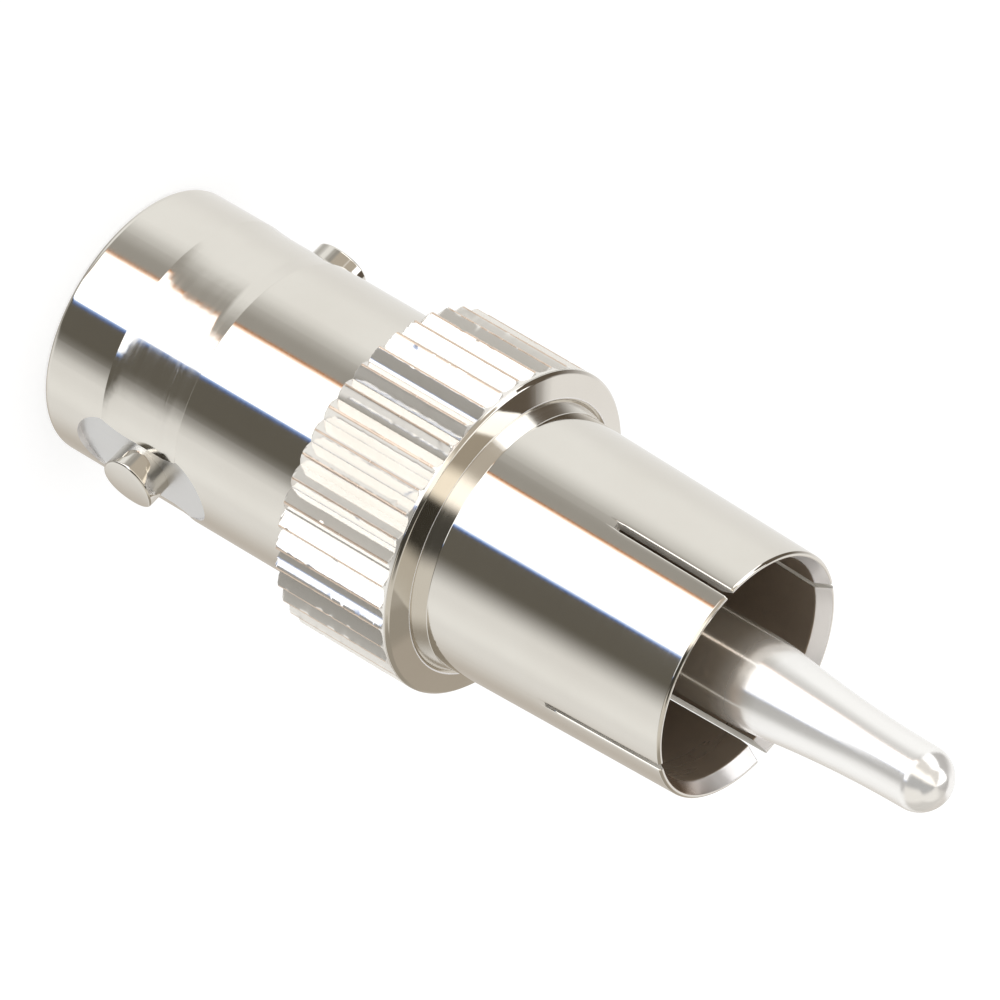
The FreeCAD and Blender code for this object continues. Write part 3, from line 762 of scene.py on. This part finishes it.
def studioWorld():
    s = studio
    world = bpy.data.worlds.new("studioWorld")
    bpy.context.scene.world = world
    world.use_nodes = True
    nodes, links = world.node_tree.nodes, world.node_tree.links
    nodes.clear()
    coords = nodes.new("ShaderNodeTexCoord")
    turn = addNode(nodes, "ShaderNodeVectorRotate", {"Angle": radians(-s["facing"])}, rotation_type="Z_AXIS")
    links.new(coords.outputs["Generated"], turn.inputs["Vector"])
    split = nodes.new("ShaderNodeSeparateXYZ")
    links.new(turn.outputs["Vector"], split.inputs["Vector"])
    up = split.outputs["Z"]
    around = joined(nodes, links, "ARCTAN2", split.outputs["Y"], split.outputs["X"])
    spread = joined(nodes, links, "MULTIPLY", ramped(nodes, links, up, 0, 1, *s["spreadSpan"]),
                    ramped(nodes, links, around, *s["spread"], *s["spreadSide"]))
    slant = joined(nodes, links, "MULTIPLY", ramped(nodes, links, up, 0, s["slant"], *s["slantSpan"]),
                   ramped(nodes, links, around, 1, 0, *s["slantSide"]))
    leant = joined(nodes, links, "ADD", joined(nodes, links, "ADD", around, spread), slant)
    fan = joined(nodes, links, "MULTIPLY", around, ramped(nodes, links, up, 1, s["fan"], *s["fanSpan"]))
    low = cardRamp(nodes, links, leant, s["low"])
    high = cardRamp(nodes, links, fan, s["high"])
    sides = mixColour(nodes, links, ramped(nodes, links, up, 0, 1, *s["highSpan"]), low, high)
    room = mixColour(nodes, links, ramped(nodes, links, up, 0, 1, *s["groundSpan"]), sides, tones["ground"])
    cards = nodes.new("ShaderNodeBackground")
    links.new(room, cards.inputs["Color"])
    plain = addNode(nodes, "ShaderNodeBackground", {"Color": (1, 1, 1, 1), "Strength": 1.0})
    path = nodes.new("ShaderNodeLightPath")
    mix = nodes.new("ShaderNodeMixShader")
    links.new(path.outputs["Is Glossy Ray"], mix.inputs["Fac"])
    links.new(plain.outputs["Background"], mix.inputs[1])
    links.new(cards.outputs["Background"], mix.inputs[2])
    output = nodes.new("ShaderNodeOutputWorld")
    links.new(mix.outputs["Shader"], output.inputs["Surface"])


floorLook = {"half": 3.0, "drop": 2e-5, "glow": 0.6, "paper": (0.5, 0.5, 0.5, 1)}


def studioFloor():
    # pale paper that keeps the object's shadow, seen only by the camera and only from above
    half = floorLook["half"]
    mesh = bpy.data.meshes.new("studioFloor")
    mesh.from_pydata([(-half, -half, 0), (half, -half, 0), (half, half, 0), (-half, half, 0)],
                     [], [(0, 1, 2, 3)])
    floor = bpy.data.objects.new("studioFloor", mesh)
    bpy.context.scene.collection.objects.link(floor)
    floor.location.z = -floorLook["drop"]
    material, nodes, links, shader = newFinish("paleFloor")
    nodes.remove(shader)
    glow = addNode(nodes, "ShaderNodeEmission", {"Color": (1, 1, 1, 1), "Strength": floorLook["glow"]})
    paper = addNode(nodes, "ShaderNodeBsdfDiffuse", {"Color": floorLook["paper"]})
    both = nodes.new("ShaderNodeAddShader")
    links.new(glow.outputs["Emission"], both.inputs[0])
    links.new(paper.outputs["BSDF"], both.inputs[1])
    clear = nodes.new("ShaderNodeBsdfTransparent")
    path, side = nodes.new("ShaderNodeLightPath"), nodes.new("ShaderNodeNewGeometry")
    front = addNode(nodes, "ShaderNodeMath", operation="SUBTRACT")
    links.new(path.outputs["Is Camera Ray"], front.inputs[0])
    links.new(side.outputs["Backfacing"], front.inputs[1])
    front.use_clamp = True
    mix = nodes.new("ShaderNodeMixShader")
    links.new(front.outputs["Value"], mix.inputs["Fac"])
    links.new(clear.outputs["BSDF"], mix.inputs[1])
    links.new(both.outputs["Shader"], mix.inputs[2])
    links.new(mix.outputs["Shader"], nodes["Material Output"].inputs["Surface"])
    floor.data.materials.append(material)


view = {"down": 28.49, "roll": 120.41, "lens": 432, "place": (0.011785, -0.005942, 0.394801)}


def studioCamera():
    # turned to the photo's side, tipped down and rolled; the place is in the camera's own axes, in m
    spin = Matrix.Rotation(radians(studio["facing"] + 90), 3, "Z") \
        @ Matrix.Rotation(radians(90 - view["down"]), 3, "X") @ Matrix.Rotation(radians(view["roll"]), 3, "Z")
    data = bpy.data.cameras.new("studioCamera")
    data.lens, data.sensor_width = view["lens"], 36
    data.clip_start, data.clip_end = 0.01, 10
    camera = bpy.data.objects.new("studioCamera", data)
    bpy.context.scene.collection.objects.link(camera)
    camera.matrix_world = Matrix.Translation(spin @ Vector(view["place"])) @ spin.to_4x4()
    bpy.context.scene.camera = camera


studioWorld()
studioFloor()
studioCamera()
bpy.context.scene.view_settings.view_transform = "Standard"
print("studio and camera set")
